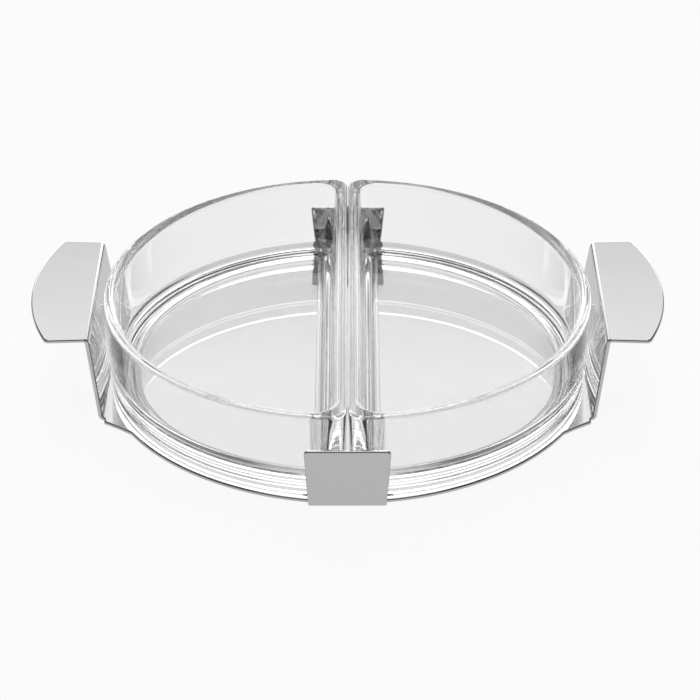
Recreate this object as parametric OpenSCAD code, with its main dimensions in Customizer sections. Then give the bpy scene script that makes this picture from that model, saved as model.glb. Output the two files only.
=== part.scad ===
// Chip and dip server: two D-shaped glass dishes side by side on a bent steel tray.
// Millimetres, +Z up. The origin is on the table, below the middle of the tray.

/* [Sheet] */
// Thickness of the steel sheet
sheet_t = 2.2; // [1.2:0.1:3]
// Inside radius of every fold
bend_r = 1; // [0.6:0.1:2]
// How far the round base reaches past the dishes' rims
ledge = 2.5; // [1.5:0.1:5]

/* [Handles] */
// Clearance between the fold at the foot of each handle and the foot of the dish
handle_gap = 0.7; // [0.3:0.1:3]
// Half the handle's width along that fold
handle_foot_half = 54; // [51:0.5:57]
// Lean of the upright outwards, in degrees
handle_lean = 7; // [4:0.5:12]
// Height of the grip's upper face above the table
handle_h = 46; // [38:0.5:56]
// Half the handle's width at the top fold
grip_half = 50.4; // [44:0.1:52]
// Opening of the grip's two straight edges, in degrees
grip_flare = 3; // [0:0.5:8]
// Distance from the fold at the foot to the tip of the grip
grip_reach = 38.5; // [32:0.1:50]
// Radius of the grip's curved outer edge
grip_arc_r = 121; // [90:1:150]
// Radius of the grip's outer corners
grip_corner_r = 3; // [1:0.5:8]
// Half the width of the base where it ends at that fold
neck_half = 57.5; // [55:0.1:60]
// Radius of the hollow curve between the round base and that end
neck_r = 130; // [60:5:300]
// Direction in which that curve leaves the round base, in degrees from the handle's middle
neck_angle = 32; // [30:0.2:34]

/* [End stops] */
// How far the fold of each stop reaches past the round base
stop_out = 2.9; // [2.4:0.1:6]
// Clearance between the top of a stop, which leans in, and the dish's wall
stop_gap = 1.4; // [0.4:0.1:2.5]
// Height of the stops above the table
stop_h = 28.5; // [20:0.5:36]
// Half the stop's width at its foot
stop_foot_half = 18.8; // [14:0.1:24]
// Half the stop's width at its top
stop_top_half = 20.8; // [15:0.1:26]
// Radius of the stop's top corners
stop_corner_r = 1.8; // [0.5:0.1:4]

/* [Dishes] */
// Distance from the middle of the server to the outer rim of a dish
dish_reach = 125; // [122:0.5:126]
// How far the centre of a dish's round wall is from the middle of the server
dish_shift = 3; // [0:0.5:8]
// Height of a dish
dish_h = 44; // [34:0.5:60]
// Distance between the rims of the two flat walls
dish_gap = 0.3; // [0.3:0.1:5]
// Thickness of the wall below the lip
wall_t = 6; // [4:0.1:7]
// Height of the floor inside above the foot
floor_h = 5.4; // [4.4:0.1:8]
// Depth of the recess under the floor
recess_h = 3.2; // [2.3:0.1:3.4]
// Width of the foot around that recess
foot_w = 10.5; // [3:0.5:14]
// Lean of the walls outwards, in degrees
draft = 3; // [1:0.5:5]
// Width of the flat on top of the lip, between its two rounded edges
lip_flat = 0.4; // [0.2:0.1:1.5]
// Share of the lip's rounding that is on its outer edge, the rest being on the inner one
lip_share = 0.3; // [0.25:0.05:0.75]
// Radius of the outer bottom edge
base_r = 2.4; // [1:0.1:6]
// Radius of the foot's inner bottom edge
foot_r = 0.8; // [0.4:0.1:1.2]
// Radius between the recess's side and the floor above it
recess_r = 1.4; // [0.5:0.1:1.8]
// Radius between the floor and the walls inside
floor_r = 7.5; // [3:0.5:10]
// Radius of the upright outer corners, at the rim
corner_r = 8; // [8:0.5:14]

/* [Hidden] */
$fn = 180;
arc_steps = 6;
cut = 1;
wall_steps = 60;
inner_corner_min = 1.8;
steel = [0.78, 0.79, 0.80];
glass = [0.86, 0.93, 0.93, 0.45];
bend_out = bend_r + sheet_t;
disc_r = dish_reach + ledge;
handle_foot_x = dish_reach - dish_h * tan(draft) + handle_gap;
grip_tip_x = handle_foot_x + grip_reach;
wall_r = dish_reach - dish_shift;
lip_out_r = (wall_t - lip_flat) * lip_share;
lip_in_r = (wall_t - lip_flat) * (1 - lip_share);
// A stop in section: centres of its fold and of its round top edge beside the dish, and its lean inwards
stop_c = [disc_r + stop_out - bend_out, sheet_t + bend_r];
stop_end_z = stop_h - sheet_t / 2;
wall_at_stop = wall_r - (sheet_t + dish_h - stop_end_z) * tan(draft);
stop_end = [wall_at_stop + stop_gap + sheet_t / 2, stop_end_z];
stop_chord = stop_end - stop_c;
stop_lean = atan2(-stop_chord[0], stop_chord[1]) + asin((bend_r + sheet_t / 2) / norm(stop_chord));
// Centre of the fold at the foot of the handle, and of the fold at the grip
foot_c = [handle_foot_x - bend_r * tan((90 - handle_lean) / 2), sheet_t + bend_r];
grip_c_z = handle_h - bend_out;
upright_len = (grip_c_z - foot_c[1] + (bend_r + bend_out) * sin(handle_lean)) / cos(handle_lean);
grip_c = [foot_c[0] + (bend_r + bend_out) * cos(handle_lean) + upright_len * sin(handle_lean), grip_c_z];
// Inner end of the grip's straight edge, and the centre of its rounded corner
grip_root = [grip_c[0], grip_half];
grip_arc_c = [grip_tip_x - grip_arc_r, 0];
grip_dir = [cos(grip_flare), sin(grip_flare)];
grip_inset = grip_root + grip_corner_r * [sin(grip_flare), -cos(grip_flare)] - grip_arc_c;
grip_run = -grip_inset * grip_dir + sqrt(pow(grip_inset * grip_dir, 2) - grip_inset * grip_inset
    + pow(grip_arc_r - grip_corner_r, 2));
grip_corner_c = grip_arc_c + grip_inset + grip_run * grip_dir;
grip_arc_a = atan2(grip_corner_c[1], grip_corner_c[0] - grip_arc_c[0]);
// Ends of the hollow neck curve, and its centre
neck_a = disc_r * [cos(neck_angle), sin(neck_angle)];
neck_b = [foot_c[0], neck_half];
neck_chord = neck_b - neck_a;
neck_side = [-neck_chord[1], neck_chord[0]] / norm(neck_chord);
neck_c = (neck_a + neck_b) / 2 + neck_side * sqrt(pow(neck_r, 2) - pow(norm(neck_chord) / 2, 2));

// Points of an arc about c, from angle a0 to a1
function arc(c, r, a0, a1, steps = arc_steps) =
    [for (i = [0:steps]) let (a = a0 + (a1 - a0) * i / steps) c + r * [cos(a), sin(a)]];

// One right-hand handle in section: base, upright and grip, as one bent strip
module handle_section() {
    start = [handle_foot_x / 2, 0];
    polygon(concat(
        [start],
        arc(foot_c, bend_out, -90, -handle_lean),
        arc(grip_c, bend_r, 180 - handle_lean, 90),
        [[grip_tip_x + cut, handle_h - sheet_t], [grip_tip_x + cut, handle_h]],
        arc(grip_c, bend_out, 90, 180 - handle_lean),
        arc(foot_c, bend_r, -handle_lean, -90),
        [start + [0, sheet_t]]));
}

// The grip from above, from the top fold outwards
module grip_outline() {
    start_x = grip_root[0] - sheet_t;
    polygon(concat(
        [[start_x, grip_half], grip_root],
        arc(grip_corner_c, grip_corner_r, 90 + grip_flare, grip_arc_a),
        arc(grip_arc_c, grip_arc_r, grip_arc_a, -grip_arc_a, 8 * arc_steps),
        arc([grip_corner_c[0], -grip_corner_c[1]], grip_corner_r, -grip_arc_a, -90 - grip_flare),
        [[grip_root[0], -grip_half], [start_x, -grip_half]]));
}

// The upright from its side, narrowing upwards
module upright_outline() {
    polygon([
        [-handle_foot_half, 0], [handle_foot_half, 0], [handle_foot_half, sheet_t],
        [grip_half, handle_h - bend_out], [grip_half, handle_h],
        [-grip_half, handle_h], [-grip_half, handle_h - bend_out], [-handle_foot_half, sheet_t]]);
}

module handle() {
    intersection() {
        translate([0, handle_foot_half + cut, 0]) rotate([90, 0, 0])
            linear_extrude(2 * (handle_foot_half + cut)) handle_section();
        union() {
            translate([foot_c[0] - sheet_t, 0, 0]) rotate([90, 0, 90])
                linear_extrude(grip_c[0] - foot_c[0] + sheet_t) upright_outline();
            linear_extrude(handle_h) grip_outline();
        }
    }
}

// The flat base from above: the disc, cut off short of the folds, and the necks that widen it there
module base_outline() {
    intersection() {
        circle(disc_r);
        square([neck_a[0] + foot_c[0], 2 * disc_r], center = true);
    }
    for (turn = [0, 180]) rotate(turn) difference() {
        polygon([[0, 0], neck_a, neck_b, [neck_b[0], -neck_b[1]], [neck_a[0], -neck_a[1]]]);
        for (end = [-1, 1]) translate([neck_c[0], end * neck_c[1]]) circle(neck_r);
    }
}

// One stop: a tongue of the sheet, bent up at the edge of the disc, with a round top edge
module stop() {
    root = sqrt(pow(disc_r, 2) - pow(stop_foot_half, 2)) - 2 * sheet_t;
    intersection() {
        rotate([90, 0, 90]) translate([0, 0, -stop_top_half - cut])
            linear_extrude(2 * (stop_top_half + cut)) polygon(concat(
                [[root, 0]],
                arc(stop_c, bend_out, -90, stop_lean),
                arc(stop_end, sheet_t / 2, stop_lean, 180 + stop_lean),
                arc(stop_c, bend_r, stop_lean, -90),
                [[root, sheet_t]]));
        rotate([90, 0, 180]) linear_extrude(stop_c[0] + bend_out + cut) stop_outline();
    }
}

// The stop from its front, widening upwards, with rounded top corners
module stop_outline() {
    c = [stop_top_half - stop_corner_r, stop_h - stop_corner_r];
    polygon(concat(
        [[-stop_foot_half, 0], [stop_foot_half, 0]],
        arc(c, stop_corner_r, 0, 90),
        arc([-c[0], c[1]], stop_corner_r, 90, 180)));
}

// An arc of the dish's section about [distance in from the rim outline, height above the foot]
function section_arc(in, z, r, a0, a1) = [for (p = arc([0, 0], r, a0, a1)) [in - p[0], z + p[1]]];

// The same, where it ends on the leaning wall's outer face, or on the face that lies "behind" it
function wall_arc(r, z, a0, a1, behind = 0) =
    section_arc(behind + (dish_h - z) * tan(draft) + r / cos(draft), z, r, a0, a1);

// The D outline of a dish, moved in by "inset", at height z: round wall, then the two upright corners
function d_ring(inset, z, corner) =
    let (
        c_x = dish_gap / 2 + corner,
        c = [c_x, sqrt(pow(wall_r - corner, 2) - pow(c_x - dish_shift, 2))],
        turn = atan2(c[1], c[0] - dish_shift),
        wall = arc([dish_shift, 0], wall_r - inset, -turn, turn, wall_steps),
        far = arc(c, corner - inset, turn, 180),
        near = arc([c[0], -c[1]], corner - inset, -180, -turn))
    [for (p = concat([for (i = [1:wall_steps]) wall[i]], [for (i = [1:arc_steps]) far[i]], near))
        [p[0], p[1], z]];

// A dish in its place on the right, standing on the sheet: rings from the recess under its floor,
// round the foot, up the wall, over the lip and down to the floor inside
module dish() {
    foot = wall_arc(base_r, base_r, -90, -draft);
    foot_in = foot[0][0] + foot_w;
    under = concat(
        section_arc(foot_in + recess_r, recess_h - recess_r, recess_r, 90, 0),
        section_arc(foot_in - foot_r, foot_r, foot_r, 180, 270));
    outside = concat(foot, wall_arc(lip_out_r, dish_h - lip_out_r, -draft, 90));
    inside = concat(
        wall_arc(-lip_in_r, dish_h - lip_in_r, -90, -draft, wall_t),
        wall_arc(floor_r, floor_h + floor_r, -draft, -90, wall_t));
    under_corner = under[0][0] + inner_corner_min;
    inside_corner = inside[len(inside) - 1][0] + inner_corner_min;
    rings = concat(
        [for (p = under) d_ring(p[0], p[1], under_corner)],
        [for (p = outside) d_ring(p[0], p[1], corner_r)],
        [for (p = inside) d_ring(p[0], p[1], inside_corner)]);
    sides = len(rings[0]);
    last = (len(rings) - 1) * sides;
    translate([0, 0, sheet_t]) polyhedron(
        points = [for (ring = rings) each ring],
        faces = concat(
            [[for (i = [0:sides - 1]) i]],
            [for (k = [0:len(rings) - 2], i = [0:sides - 1]) let (j = (i + 1) % sides)
                [k * sides + i, (k + 1) * sides + i, (k + 1) * sides + j, k * sides + j]],
            [[for (i = [0:sides - 1]) last + sides - 1 - i]]),
        convexity = 4);
}

module tray() {
    color(steel) {
        linear_extrude(sheet_t) base_outline();
        for (turn = [0, 180]) rotate(turn) {
            handle();
            stop();
        }
    }
}

module left_dish() {
    color(glass) rotate(180) dish();
}

module right_dish() {
    color(glass) dish();
}

tray();
left_dish();
right_dish();
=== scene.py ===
"""Chip and dip server: two clear glass half-round dishes on a bent sheet of polished steel."""
import math

import bpy
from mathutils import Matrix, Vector
from mathutils.geometry import delaunay_2d_cdt


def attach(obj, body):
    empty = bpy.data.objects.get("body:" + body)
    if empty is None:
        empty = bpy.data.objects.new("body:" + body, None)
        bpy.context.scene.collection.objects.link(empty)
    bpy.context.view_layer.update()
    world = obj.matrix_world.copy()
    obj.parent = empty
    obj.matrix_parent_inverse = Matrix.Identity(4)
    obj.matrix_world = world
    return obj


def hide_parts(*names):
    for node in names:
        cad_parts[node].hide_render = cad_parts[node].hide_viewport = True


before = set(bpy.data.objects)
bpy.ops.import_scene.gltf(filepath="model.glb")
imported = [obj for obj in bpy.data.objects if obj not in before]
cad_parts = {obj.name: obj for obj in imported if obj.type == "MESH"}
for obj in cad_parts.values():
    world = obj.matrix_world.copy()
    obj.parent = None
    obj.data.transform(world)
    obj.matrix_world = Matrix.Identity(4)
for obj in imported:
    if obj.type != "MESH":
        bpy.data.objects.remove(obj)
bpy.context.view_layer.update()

# Sizes are in millimetres, and make_mesh() turns them into metres
MM = 0.001
RIGHT_ANGLE = math.pi / 2

# Dishes
DISH_REACH = 125.0  # from the middle of the server to a dish's outer rim
DISH_SHIFT = 3.0  # from the middle of the server to the centre of a dish's round wall
DISH_H = 44.0
DISH_GAP = 0.3  # between the rims of the two flat walls
WALL = 6.0
FLOOR = 5.4  # height of the floor inside above the foot
DRAFT = math.radians(3)
LIP_FLAT = 0.4  # width of the flat between the lip's two rounded edges
LIP_SHARE = 0.3  # share of the lip's rounding that is on its outer edge
LIP_R = (WALL - LIP_FLAT) * LIP_SHARE
LIP_IN_R = (WALL - LIP_FLAT) * (1 - LIP_SHARE)
BASE_R = 2.4  # outer bottom edge
FLOOR_R = 7.5  # between the floor and the walls inside
CORNER_R = 8.0  # upright outer corners, at the rim
INNER_CORNER_MIN = 1.8  # least radius of the upright corners inside and underneath
RECESS = 3.2  # depth of the recess under the floor
RECESS_R = 1.4  # between the recess's side and the floor above it
FOOT_W = 10.5  # width of the foot around that recess
FOOT_R = 0.8  # the foot's inner bottom edge
REST_GAP = 0.04  # between the glass foot and the steel, because faces that touch render dark

# Sheet
SHEET = 2.2
BEND = 1.0  # inside radius of every fold
BEND_MID = BEND + SHEET / 2  # its radius along the middle of the sheet's thickness
BEND_OUT = BEND + SHEET  # its outside radius
EDGE = 1.0  # rounding of the sheet's edges
LEDGE = 2.5  # how far the disc reaches past the dishes' rims
DISC_R = DISH_REACH + LEDGE

# Handles
FOOT_X = 123.4  # fold at the foot of a handle
FOOT_HALF = 54.0  # half the upright's width at that fold
LEAN = math.radians(7)
HANDLE_H = 46.0
GRIP_HALF = 50.4
GRIP_FLARE = math.radians(3)
GRIP_REACH = 38.5  # from the fold at the foot to the tip of the grip
GRIP_TIP_X = FOOT_X + GRIP_REACH
GRIP_ARC_R = 121.0
GRIP_CORNER_R = 3.0
NECK_HALF = 57.5  # half the base's width where it ends at the foot of a handle
NECK_R = 130.0
NECK_ANGLE = math.radians(32)  # direction in which the neck's hollow curve leaves the disc
SHOULDER_R = 1.2  # hollow between the upright and the neck

# End stops
STOP_OUT = 2.9  # how far the fold of a stop reaches past the disc
STOP_Y = DISC_R + STOP_OUT
STOP_GAP = 1.4  # between the top of a stop and the dish's wall
STOP_H = 28.5
STOP_FOOT_HALF = 18.8
STOP_TOP_HALF = 20.8
STOP_CORNER_R = 1.8
STOP_ROOT_R = 1.5  # hollow between the disc and the stop
STOP_SIDE = 40.0  # half the width of the strip of the sheet that holds the stops

# Fineness of the meshes
EDGE_STEPS = 6
BEND_STEPS = 12
GRIP_ARC_STEPS = 40
GRIP_CORNER_STEPS = 10
NECK_STEPS = 16
DISC_STEPS = 72
STOP_ROOT_STEPS = 8
STOP_CORNER_STEPS = 8
WALL_STEPS = 220
CORNER_STEPS = 14
PROFILE_STEPS = 10

# Margins of the sheet's mesh
SAME = 1e-6  # how near the bends' first and last rows points still count as on them
ROW_MARGIN = 0.01  # how far past a row's ends points still count as on it
ROOT_MARGIN = 0.05  # least distance from the end of a stop's root hollow to the next row
MITRE_LEAST = 0.5  # least cosine at a corner of the outline when it is moved in
FILL_EPSILON = 1e-7  # points of the filling that are nearer are one


def arc_points(c, r, a0, a1, steps):
    """Points of an arc about c, from angle a0 to a1."""
    angles = [a0 + (a1 - a0) * i / steps for i in range(steps + 1)]
    return [(c[0] + r * math.cos(a), c[1] + r * math.sin(a)) for a in angles]


def between(a, b, t):
    """From a to b while t goes from 0 to 1, and no further."""
    return a + (b - a) * min(max(t, 0), 1)


def make_mesh(name, node, material, verts, faces, normals):
    """A smooth piece in place of a node, on its body, from points in millimetres and their exact normals."""
    mesh = bpy.data.meshes.new(name)
    mesh.from_pydata([Vector(v) * MM for v in verts], [], faces)
    mesh.validate()
    for p in mesh.polygons:
        p.use_smooth = True
    mesh.normals_split_custom_set_from_vertices([Vector(n).normalized() for n in normals])
    mesh.materials.append(material)
    obj = bpy.data.objects.new(name, mesh)
    bpy.context.scene.collection.objects.link(obj)
    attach(obj, node)
    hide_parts(node)


# ---- the folds of the sheet -----------------------------------------------------------------

class Fold:
    """A tongue of the sheet. It leaves the flat base at `start`, bends up by `angle`, runs straight for
    `length` and, where `back` is true, bends back until it lies level."""

    def __init__(self, start, angle, length, back):
        self.start, self.angle, self.length, self.back = start, angle, length, back
        self.bend = BEND_MID * angle

    def at(self, s):
        """The tongue at the distance s past its start: the middle of the sheet's thickness, as distance
        out and height, and the direction of its upper face."""
        if s <= 0:
            return (self.start + s, SHEET / 2), (0, 1)
        # First bend
        a = min(s / BEND_MID, self.angle)
        p = (self.start + BEND_MID * math.sin(a), SHEET + BEND - BEND_MID * math.cos(a))
        n = (-math.sin(a), math.cos(a))
        s -= self.bend
        if s <= 0:
            return p, n
        # Straight part
        along = (math.cos(a), math.sin(a))
        up = min(s, self.length)
        p = (p[0] + up * along[0], p[1] + up * along[1])
        s -= self.length
        if s <= 0 or not self.back:
            past = max(s, 0)
            return (p[0] + past * along[0], p[1] + past * along[1]), n
        # Bend back, and level part
        c = (p[0] - BEND_MID * n[0], p[1] - BEND_MID * n[1])
        a = self.angle - min(s / BEND_MID, self.angle)
        p = (c[0] - BEND_MID * math.sin(a), c[1] + BEND_MID * math.cos(a))
        s -= self.bend
        return (p[0] + max(s, 0), p[1]), (-math.sin(a), math.cos(a))

    def rows(self):
        """Distances past the start at which the curvature needs a row of points."""
        bends = [0, self.bend + self.length] if self.back else [0]
        return [first + self.bend * i / BEND_STEPS for first in bends for i in range(BEND_STEPS + 1)]


def handle_fold():
    start = FOOT_X - BEND * math.tan((RIGHT_ANGLE - LEAN) / 2)
    rise = HANDLE_H - BEND_OUT - (SHEET + BEND) + (BEND + BEND_OUT) * math.sin(LEAN)
    return Fold(start, RIGHT_ANGLE - LEAN, rise / math.cos(LEAN), True)


def stop_fold():
    """A stop leans in until its round top edge stands beside the dish's wall."""
    end_z = STOP_H - SHEET / 2
    end_y = DISH_REACH - DISH_SHIFT - (SHEET + DISH_H - end_z) * math.tan(DRAFT) + STOP_GAP + SHEET / 2
    inwards, up = STOP_Y - BEND_OUT - end_y, end_z - SHEET - BEND
    lean = math.atan2(inwards, up) + math.asin(BEND_MID / math.hypot(inwards, up))
    length = math.sqrt(inwards ** 2 + up ** 2 - BEND_MID ** 2) + SHEET / 2
    return Fold(STOP_Y - BEND_OUT, RIGHT_ANGLE + lean, length, False)


handle = handle_fold()
stop = stop_fold()
# Where the grip begins: along the handle, and in x once the handle is bent
grip_s = 2 * handle.bend + handle.length
grip_x = handle.at(grip_s)[0][0]


# ---- the outline of the flat sheet ----------------------------------------------------------

def grip_points():
    """From the tip of the grip round its corner to the straight edge."""
    arc_x = GRIP_TIP_X - GRIP_ARC_R
    g = (math.cos(GRIP_FLARE), math.sin(GRIP_FLARE))
    inset = (grip_x + GRIP_CORNER_R * g[1] - arc_x, GRIP_HALF - GRIP_CORNER_R * g[0])
    along = inset[0] * g[0] + inset[1] * g[1]
    run = -along + math.sqrt(along ** 2 - inset[0] ** 2 - inset[1] ** 2 + (GRIP_ARC_R - GRIP_CORNER_R) ** 2)
    corner = (arc_x + inset[0] + run * g[0], inset[1] + run * g[1])
    turn = math.atan2(corner[1], corner[0] - arc_x)
    grip = arc_points((arc_x, 0), GRIP_ARC_R, 0, turn, GRIP_ARC_STEPS)
    grip += arc_points(corner, GRIP_CORNER_R, turn, RIGHT_ANGLE + GRIP_FLARE, GRIP_CORNER_STEPS)[1:]
    return [(x - grip_x + grip_s + handle.start, y) for x, y in grip]


def upright_points():
    """Down through both bends, one point on every row. On the lowest rows the side curves out in a small
    hollow that ends on the fold, where the neck begins."""
    r = SHOULDER_R
    points = []
    for s in reversed(handle.rows()):
        z = handle.at(s)[0][1]
        half = between(FOOT_HALF, GRIP_HALF, (z - SHEET) / (HANDLE_H - BEND_OUT - SHEET))
        hollow = r - math.sqrt(max(r ** 2 - (r - s) ** 2, 0)) if s < r else 0
        points.append((handle.start + s, half + hollow))
    points.append((handle.start, NECK_HALF))
    return points


def neck_points():
    """A hollow curve from the foot of the handle to the disc."""
    disc_end = (DISC_R * math.cos(NECK_ANGLE), DISC_R * math.sin(NECK_ANGLE))
    foot_end = (handle.start, NECK_HALF)
    chord = (foot_end[0] - disc_end[0], foot_end[1] - disc_end[1])
    length = math.hypot(*chord)
    h = math.sqrt(NECK_R ** 2 - length ** 2 / 4)
    c = (
        (disc_end[0] + foot_end[0]) / 2 - chord[1] / length * h,
        (disc_end[1] + foot_end[1]) / 2 + chord[0] / length * h,
    )
    a0 = math.atan2(foot_end[1] - c[1], foot_end[0] - c[0])
    a1 = math.atan2(disc_end[1] - c[1], disc_end[0] - c[0])
    return arc_points(c, NECK_R, a0, a1, NECK_STEPS)[1:]


def stop_points(hollow_end):
    """Up the stop's side, one point on every row past the hollow at its root, and round its top corner."""
    points = []
    for s in stop.rows():
        v = stop.start + s
        if v > hollow_end + ROOT_MARGIN:
            z = stop.at(s)[0][1]
            points.append((between(STOP_FOOT_HALF, STOP_TOP_HALF, z / (STOP_H - STOP_CORNER_R)), v))
    end = stop.start + (stop.bend + stop.length)
    corner = (STOP_TOP_HALF - STOP_CORNER_R, end - STOP_CORNER_R)
    points += arc_points(corner, STOP_CORNER_R, 0, RIGHT_ANGLE, STOP_CORNER_STEPS)
    points.append((0, end))
    return points


def outline():
    """The flat sheet all the way round, from the tip of the right-hand grip. Its first quarter ends in the
    middle of the far stop's top edge, and the other three are mirrored from it."""
    root_x = STOP_FOOT_HALF + STOP_ROOT_R
    root = (root_x, math.sqrt((DISC_R + STOP_ROOT_R) ** 2 - root_x ** 2))
    turn = math.atan2(root[1], root[0])
    q = grip_points() + upright_points() + neck_points()
    q += arc_points((0, 0), DISC_R, NECK_ANGLE, turn, DISC_STEPS)[1:]
    q += arc_points(root, STOP_ROOT_R, turn - math.pi, -math.pi, STOP_ROOT_STEPS)[1:]
    q += stop_points(root[1])
    loop = list(q)
    loop += [(-x, y) for x, y in reversed(q[:-1])]
    loop += [(-x, -y) for x, y in q[1:]]
    loop += [(x, -y) for x, y in reversed(q[1:-1])]
    return loop


def inset_loop(loop, distance):
    """The loop moved in, and the outward direction at each of its points."""
    moved, out = [], []
    for i, (x, y) in enumerate(loop):
        (x0, y0), (x2, y2) = loop[i - 1], loop[(i + 1) % len(loop)]
        a, b = (x - x0, y - y0), (x2 - x, y2 - y)
        a_length, b_length = math.hypot(*a), math.hypot(*b)
        a_out, b_out = (a[1] / a_length, -a[0] / a_length), (b[1] / b_length, -b[0] / b_length)
        both = (a_out[0] + b_out[0], a_out[1] + b_out[1])
        size = math.hypot(*both)
        u = (both[0] / size, both[1] / size)
        k = distance / max(u[0] * a_out[0] + u[1] * a_out[1], MITRE_LEAST)
        moved.append((x - u[0] * k, y - u[1] * k))
        out.append(u)
    return moved, out


# ---- the bent sheet -------------------------------------------------------------------------

def bend_point(u, v, w, out):
    """A point of the flat sheet, w above its middle, in the bent sheet, and two directions there: that of
    the upper face, and `out`, which lies in the flat sheet."""
    if abs(u) > handle.start:
        (x, z), (nx, nz) = handle.at(abs(u) - handle.start)
        side = 1 if u > 0 else -1
        return (
            (side * (x + nx * w), v, z + nz * w),
            (side * nx, 0, nz),
            (out[0] * nz, out[1], -side * out[0] * nx))
    if abs(v) > stop.start and abs(u) < STOP_SIDE:
        (y, z), (ny, nz) = stop.at(abs(v) - stop.start)
        side = 1 if v > 0 else -1
        return (
            (u, side * (y + ny * w), z + nz * w),
            (0, side * ny, nz),
            (out[0], out[1] * nz, -side * out[1] * ny))
    return (u, v, SHEET / 2 + w), (0, 0, 1), (out[0], out[1], 0)


def row_edges(loop):
    """The rows of the bends, as pairs of points of the loop. Of its n points, -i is point i mirrored in y,
    and n / 2 - i is point i mirrored in x."""
    n = len(loop)
    edges = set()
    for i, (x, y) in enumerate(loop[:n // 4 + 1]):
        on_handle = handle.start - SAME < x < handle.start + grip_s + SAME
        if on_handle and 0 < y < FOOT_HALF + SHOULDER_R + ROW_MARGIN:
            edges |= {(i, -i % n), ((n // 2 - i) % n, (n // 2 + i) % n)}
        on_stop = stop.start - SAME < y < stop.start + stop.bend + SAME
        if on_stop and STOP_FOOT_HALF - ROW_MARGIN < x < STOP_TOP_HALF + ROW_MARGIN:
            edges |= {(i, (n // 2 - i) % n), (-i % n, (n // 2 + i) % n)}
    return sorted({tuple(sorted(edge)) for edge in edges})


def fill(loop, edges):
    """Triangles that fill the loop and keep the edges, anticlockwise, as indices of the loop's points."""
    points, _, tris, origin, _, _ = delaunay_2d_cdt(
        [Vector(p) for p in loop], edges, [list(range(len(loop)))], 1, FILL_EPSILON)
    assert len(points) == len(loop), "the filling added or joined points"
    found = []
    for tri in tris:
        tri = [origin[k][0] for k in tri]
        area = sum(
            loop[a][0] * loop[b][1] - loop[b][0] * loop[a][1]
            for a, b in zip(tri, tri[1:] + tri[:1]))
        found.append(tri if area >= 0 else tri[::-1])
    return found


def ring_faces(n, top):
    """Faces between rings of n points, up to the ring that starts at top."""
    return [
        (ring + i, ring + (i + 1) % n, ring + n + (i + 1) % n, ring + n + i)
        for ring in range(0, top, n) for i in range(n)
    ]


def build_tray(material):
    """Rings of points round the sheet's rounded edge, from the lower face to the upper, and both filled."""
    loop = outline()
    inner, outward = inset_loop(loop, EDGE)
    verts, normals = [], []
    middle = SHEET / 2 - EDGE
    for centre, first_angle in ((-middle, -RIGHT_ANGLE), (middle, 0)):
        for i in range(EDGE_STEPS + 1):
            a = first_angle + RIGHT_ANGLE * i / EDGE_STEPS
            c, s = math.cos(a), math.sin(a)
            moved, _ = inset_loop(loop, EDGE * (1 - c))
            for (u, v), out in zip(moved, outward):
                p, up, side = bend_point(u, v, centre + EDGE * s, out)
                verts.append(p)
                normals.append(tuple(c * side[k] + s * up[k] for k in range(3)))
    top = len(verts) - len(loop)
    faces = ring_faces(len(loop), top)
    for tri in fill(inner, row_edges(loop)):
        faces.append(tuple(top + k for k in tri))
        faces.append(tuple(reversed(tri)))
    make_mesh("steel_tray", "tray", material, verts, faces, normals)


# ---- the dishes -----------------------------------------------------------------------------

def d_points(inset, corner):
    """The D outline of a right-hand dish moved in by inset: (x, y, plan direction) all the way round."""
    wall_r = DISH_REACH - DISH_SHIFT
    cx = DISH_GAP / 2 + corner
    cy = math.sqrt((wall_r - corner) ** 2 - (cx - DISH_SHIFT) ** 2)
    turn = math.atan2(cy, cx - DISH_SHIFT)
    found = []
    for i in range(WALL_STEPS + 1):
        a = -turn + 2 * turn * i / WALL_STEPS
        found.append((DISH_SHIFT + (wall_r - inset) * math.cos(a), (wall_r - inset) * math.sin(a), a))
    for i in range(1, CORNER_STEPS + 1):
        a = turn + (math.pi - turn) * i / CORNER_STEPS
        found.append((cx + (corner - inset) * math.cos(a), cy + (corner - inset) * math.sin(a), a))
    for i in range(CORNER_STEPS):
        a = math.pi + (math.pi - turn) * i / CORNER_STEPS
        found.append((cx + (corner - inset) * math.cos(a), -cy + (corner - inset) * math.sin(a), a))
    return found


def section_arc(inset, z, r, a0, a1, side=1):
    """A rounded edge in section: (inset, height, and how far the face looks outwards and upwards)."""
    found = []
    for i in range(PROFILE_STEPS + 1):
        a = a0 + (a1 - a0) * i / PROFILE_STEPS
        found.append((inset - r * math.cos(a), z + r * math.sin(a), side * math.cos(a), side * math.sin(a)))
    return found


def wall_arc(r, z, a0, a1, side=1, behind=0.0):
    """A rounded edge that ends on the leaning wall's outer face, or behind it on its inner face."""
    inset = behind + (DISH_H - z) * math.tan(DRAFT) + r / math.cos(DRAFT)
    return section_arc(inset, z, r, a0, a1, side)


def dish_section():
    """The dish in section, from the recess below the floor, over the foot and the lip to the floor inside.
    It is in groups that share their upright corners: (how far in the centres of those are, points)."""
    foot = wall_arc(BASE_R, BASE_R, -RIGHT_ANGLE, -DRAFT)
    foot_in = foot[0][0] + FOOT_W
    under = section_arc(foot_in + RECESS_R, RECESS - RECESS_R, RECESS_R, RIGHT_ANGLE, 0, -1)
    under += section_arc(foot_in - FOOT_R, FOOT_R, FOOT_R, 2 * RIGHT_ANGLE, 3 * RIGHT_ANGLE)
    outside = foot + wall_arc(LIP_R, DISH_H - LIP_R, -DRAFT, RIGHT_ANGLE)
    inside = wall_arc(-LIP_IN_R, DISH_H - LIP_IN_R, -RIGHT_ANGLE, -DRAFT, -1, WALL)
    inside += wall_arc(FLOOR_R, FLOOR + FLOOR_R, -DRAFT, -RIGHT_ANGLE, -1, WALL)
    return (
        (under[0][0] + INNER_CORNER_MIN, under),
        (CORNER_R, outside),
        (inside[-1][0] + INNER_CORNER_MIN, inside))


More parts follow.
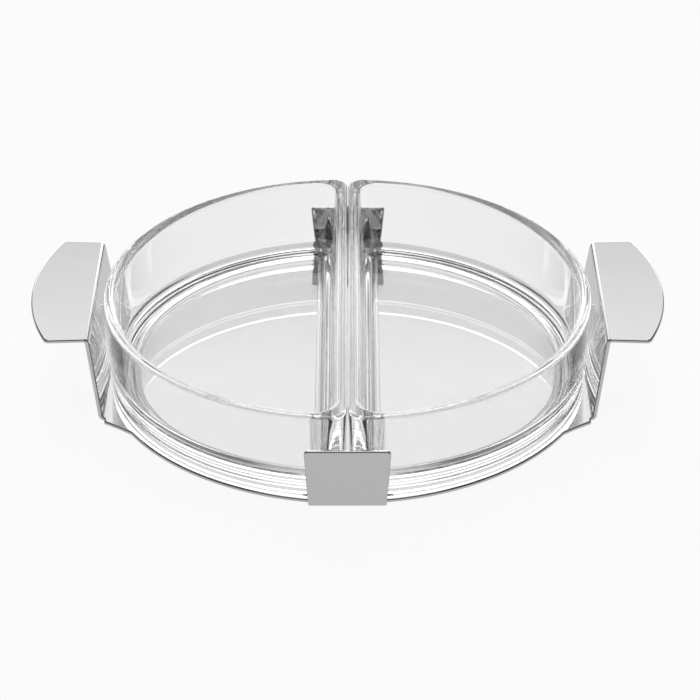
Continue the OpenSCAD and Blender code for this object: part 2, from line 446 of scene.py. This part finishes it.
def build_dish(name, node, side, material):
    """A dish, as rings of points along its section. A side of 1 is the right-hand one, and -1 turns it
    half round."""
    verts, normals = [], []
    for corner, group in dish_section():
        for inset, z, out, up in group:
            ring = d_points(inset, corner)
            for x, y, a in ring:
                verts.append((side * x, side * y, SHEET + max(z, REST_GAP)))
                normals.append((side * out * math.cos(a), side * out * math.sin(a), up))
    n = len(ring)
    top = len(verts) - n
    faces = ring_faces(n, top)
    faces.append(tuple(reversed(range(n))))
    faces.append(tuple(range(top, top + n)))
    make_mesh(name, node, material, verts, faces, normals)


# ---- shader nodes ---------------------------------------------------------------------------

def grey(value):
    return (value, value, value, 1)


def new_material(name):
    m = bpy.data.materials.new(name)
    m.use_nodes = True
    nt = m.node_tree
    nt.nodes.clear()
    out = nt.nodes.new("ShaderNodeOutputMaterial")
    return m, nt, out


def math_node(nt, operation, a, b=None):
    n = nt.nodes.new("ShaderNodeMath")
    n.operation = operation
    for socket, value in zip(n.inputs, (a, b)):
        if value is None:
            continue
        if isinstance(value, (int, float)):
            socket.default_value = value
        else:
            nt.links.new(value, socket)
    return n.outputs[0]


def ramp(nt, value, x0, x1, y0, y1):
    """A smooth step from y0 to y1 while the value goes from x0 to x1."""
    n = nt.nodes.new("ShaderNodeMapRange")
    n.interpolation_type = "SMOOTHSTEP"
    for name, v in (("From Min", x0), ("From Max", x1), ("To Min", y0), ("To Max", y1)):
        n.inputs[name].default_value = v
    nt.links.new(value, n.inputs["Value"])
    return n.outputs["Result"]


def noise_node(nt, scale, detail):
    coord = nt.nodes.new("ShaderNodeTexCoord")
    noise = nt.nodes.new("ShaderNodeTexNoise")
    noise.inputs["Scale"].default_value = scale
    noise.inputs["Detail"].default_value = detail
    nt.links.new(coord.outputs["Object"], noise.inputs["Vector"])
    return noise.outputs["Fac"]


def mix_shaders(nt, share, first, second, out):
    """Mixes two shaders into the output, with this share of the second."""
    mix = nt.nodes.new("ShaderNodeMixShader")
    nt.links.new(share, mix.inputs["Fac"])
    nt.links.new(first, mix.inputs[1])
    nt.links.new(second, mix.inputs[2])
    nt.links.new(mix.outputs["Shader"], out.inputs["Surface"])


# ---- materials ------------------------------------------------------------------------------

# Steel: two greys and two roughnesses, mixed by a noise
STEEL_TONES = (0.60, 0.64)
STEEL_ROUGHNESS = (0.01, 0.03)
STEEL_NOISE_SCALE = 60
STEEL_NOISE_DETAIL = 4

# Glass: almost white, with faint ripples whose depth is in metres
GLASS_TONE = 0.985
GLASS_IOR = 1.5
RIPPLE_SCALE = 25
RIPPLE_DETAIL = 1
RIPPLE_STRENGTH = 0.02
RIPPLE_DEPTH = 0.0001

# Floor: its colour, its glow where it is seen straight or through glass, and the share of that in a mirror
FLOOR_TONE = 0.9
SEEN_GLOW = 1.065
THROUGH_GLOW = 1.02
MIRRORED_SHARE = 0.765
GLOW_SHARE = 0.85  # how much of what is seen is glow, the rest being lit and shadowed


def steel_material():
    m, nt, out = new_material("polished_steel")
    p = nt.nodes.new("ShaderNodeBsdfPrincipled")
    p.inputs["Metallic"].default_value = 1.0
    nt.links.new(p.outputs["BSDF"], out.inputs["Surface"])
    noise = noise_node(nt, STEEL_NOISE_SCALE, STEEL_NOISE_DETAIL)
    rough = nt.nodes.new("ShaderNodeMapRange")
    rough.inputs["To Min"].default_value, rough.inputs["To Max"].default_value = STEEL_ROUGHNESS
    nt.links.new(noise, rough.inputs["Value"])
    nt.links.new(rough.outputs["Result"], p.inputs["Roughness"])
    tone = nt.nodes.new("ShaderNodeMix")
    tone.data_type = "RGBA"
    tone.inputs["A"].default_value, tone.inputs["B"].default_value = map(grey, STEEL_TONES)
    nt.links.new(noise, tone.inputs["Factor"])
    nt.links.new(tone.outputs["Result"], p.inputs["Base Color"])
    return m


def glass_material():
    m, nt, out = new_material("clear_glass")
    p = nt.nodes.new("ShaderNodeBsdfPrincipled")
    p.inputs["Base Color"].default_value = grey(GLASS_TONE)
    p.inputs["Transmission Weight"].default_value = 1.0
    p.inputs["Roughness"].default_value = 0.0
    p.inputs["IOR"].default_value = GLASS_IOR
    nt.links.new(p.outputs["BSDF"], out.inputs["Surface"])
    bump = nt.nodes.new("ShaderNodeBump")
    bump.inputs["Strength"].default_value = RIPPLE_STRENGTH
    bump.inputs["Distance"].default_value = RIPPLE_DEPTH
    nt.links.new(noise_node(nt, RIPPLE_SCALE, RIPPLE_DETAIL), bump.inputs["Height"])
    nt.links.new(bump.outputs["Normal"], p.inputs["Normal"])
    return m


def floor_material():
    """White, and mostly glowing where it is seen, straight or in glass or steel, so that it keeps a soft
    shadow."""
    m, nt, out = new_material("white_floor")
    diffuse = nt.nodes.new("ShaderNodeBsdfDiffuse")
    diffuse.inputs["Color"].default_value = grey(FLOOR_TONE)
    path = nt.nodes.new("ShaderNodeLightPath")
    direct, glossy, through = (
        path.outputs[name] for name in ("Is Camera Ray", "Is Glossy Ray", "Is Transmission Ray"))
    glow = nt.nodes.new("ShaderNodeEmission")
    glow.inputs["Color"].default_value = grey(1)
    # A ray that glass has bent is glossy too, so a mirrored one is glossy and nothing else
    mirrored = math_node(nt, "GREATER_THAN", glossy, through)
    bright = math_node(
        nt, "MULTIPLY",
        ramp(nt, direct, 0, 1, THROUGH_GLOW, SEEN_GLOW), ramp(nt, mirrored, 0, 1, 1, MIRRORED_SHARE))
    nt.links.new(bright, glow.inputs["Strength"])
    seen = math_node(nt, "MAXIMUM", math_node(nt, "MAXIMUM", direct, glossy), through)
    share = math_node(nt, "MULTIPLY", seen, GLOW_SHARE)
    mix_shaders(nt, share, diffuse.outputs["BSDF"], glow.outputs["Emission"], out)
    return m


# ---- the studio -----------------------------------------------------------------------------

# From the table's middle to its edges, in metres
TABLE_HALF = 6.0

# The studio: a white backdrop behind the table, with a bright strip along its foot and a dimmer wing on each
# side, a light ceiling, and grey walls at the sides and behind the camera. Between those and the backdrop it
# is almost dark. Places are in degrees, up from the table or to either side of straight ahead. A pair is
# where the fade at an edge starts and ends.
ZENITH = 90
RAMP_FULL = 4.0  # brightness that a colour ramp's 1 stands for
STRIP = 2.0
STRIP_TOP = (23, 26)
STRIP_SIDE = (20, 23)
WING = 0.6
WING_FROM = (12, 15)
WING_TOP = (24, 27)
WING_SIDE = (42, 47)
CEILING = 1.3
CEILING_FROM = (68, 72)
WALLS = 0.18
WALLS_FROM = (50, 72)
WALLS_TOP = (38, 44)
ROOM = 0.02
BACKDROP_SIDE = (28, 32)
# The backdrop's brightness by elevation, dark just above the table
BACKDROP = (
    (0, 0.0), (7, 0.2), (10, 1.7), (13, 1.7), (20, 1.0),
    (28, 0.93), (32, 1.27), (36, 1.27), (44, 1.05), (58, 0.95),
)

# Light crosses many faces of glass before it gets out
BOUNCES = 96

# Camera, its place in metres
CAMERA_PLACE = (0.0012, -1.1056, 0.6840)
CAMERA_DOWN = math.radians(31.4)
CAMERA_LENS = 127.8
CAMERA_SENSOR = 36


def build_table():
    mesh = bpy.data.meshes.new("floor")
    t = TABLE_HALF
    mesh.from_pydata([(-t, -t, 0), (t, -t, 0), (t, t, 0), (-t, t, 0)], [], [(0, 1, 2, 3)])
    mesh.materials.append(floor_material())
    table = bpy.data.objects.new("floor", mesh)
    bpy.context.scene.collection.objects.link(table)


def backdrop_brightness(nt, level):
    keys = nt.nodes.new("ShaderNodeValToRGB")
    elements = keys.color_ramp.elements
    for i, (degrees, bright) in enumerate(BACKDROP):
        at = degrees / ZENITH
        key = elements[i] if i < len(elements) else elements.new(at)
        key.position = at
        key.color = grey(bright / RAMP_FULL)
    nt.links.new(math_node(nt, "DIVIDE", level, ZENITH), keys.inputs["Fac"])
    return math_node(nt, "MULTIPLY", keys.outputs["Color"], RAMP_FULL)


def studio_brightness(nt):
    """How bright the studio is in each direction."""
    def times(a, b):
        return math_node(nt, "MULTIPLY", a, b)

    def plus(a, b):
        return math_node(nt, "ADD", a, b)

    coord = nt.nodes.new("ShaderNodeTexCoord")
    split = nt.nodes.new("ShaderNodeSeparateXYZ")
    nt.links.new(coord.outputs["Generated"], split.inputs[0])
    x, y, z = split.outputs
    level = times(math_node(nt, "ARCSINE", z), math.degrees(1))
    side = times(math_node(nt, "ARCTAN2", math_node(nt, "ABSOLUTE", x), y), math.degrees(1))
    above = math_node(nt, "GREATER_THAN", level, 0)

    backdrop = times(times(backdrop_brightness(nt, level), above), ramp(nt, side, *BACKDROP_SIDE, 1, 0))
    strip = times(ramp(nt, level, *STRIP_TOP, 1, 0), ramp(nt, side, *STRIP_SIDE, 1, 0))
    strip = times(times(strip, above), STRIP)
    wing = times(ramp(nt, level, *WING_FROM, 0, WING), ramp(nt, level, *WING_TOP, 1, 0))
    wing = times(wing, ramp(nt, side, *WING_SIDE, 1, 0))
    glow = math_node(nt, "MAXIMUM", plus(backdrop, strip), wing)
    overhead = ramp(nt, level, *CEILING_FROM, 0, 1)
    glow = times(glow, math_node(nt, "SUBTRACT", 1, overhead))
    walls = times(ramp(nt, side, *WALLS_FROM, 0, WALLS), ramp(nt, level, *WALLS_TOP, 1, 0))
    return plus(plus(glow, times(overhead, CEILING)), plus(walls, ROOM))


def build_world(scene):
    """The studio, and plain white where the camera itself looks past the table."""
    scene.world = bpy.data.worlds.new("studio")
    scene.world.use_nodes = True
    nt = scene.world.node_tree
    nt.nodes.clear()
    out = nt.nodes.new("ShaderNodeOutputWorld")
    studio = nt.nodes.new("ShaderNodeBackground")
    studio.inputs["Color"].default_value = grey(1)
    nt.links.new(studio_brightness(nt), studio.inputs["Strength"])
    white = nt.nodes.new("ShaderNodeBackground")
    white.inputs["Color"].default_value = grey(1)
    path = nt.nodes.new("ShaderNodeLightPath")
    mix_shaders(
        nt, path.outputs["Is Camera Ray"], studio.outputs["Background"], white.outputs["Background"], out)


def build_camera(scene):
    data = bpy.data.cameras.new("camera")
    data.lens = CAMERA_LENS
    data.sensor_width = CAMERA_SENSOR
    camera = bpy.data.objects.new("camera", data)
    scene.collection.objects.link(camera)
    camera.location = CAMERA_PLACE
    camera.rotation_euler = (RIGHT_ANGLE - CAMERA_DOWN, 0, 0)
    scene.camera = camera


# ---- the scene ------------------------------------------------------------------------------

steel = steel_material()
glass = glass_material()
build_tray(steel)
build_dish("right_glass", "right_dish", 1, glass)
build_dish("left_glass", "left_dish", -1, glass)

scene = bpy.context.scene
build_table()
build_world(scene)
build_camera(scene)

scene.view_settings.view_transform = "Standard"
scene.cycles.max_bounces = BOUNCES
scene.cycles.transmission_bounces = BOUNCES
scene.cycles.glossy_bounces = BOUNCES
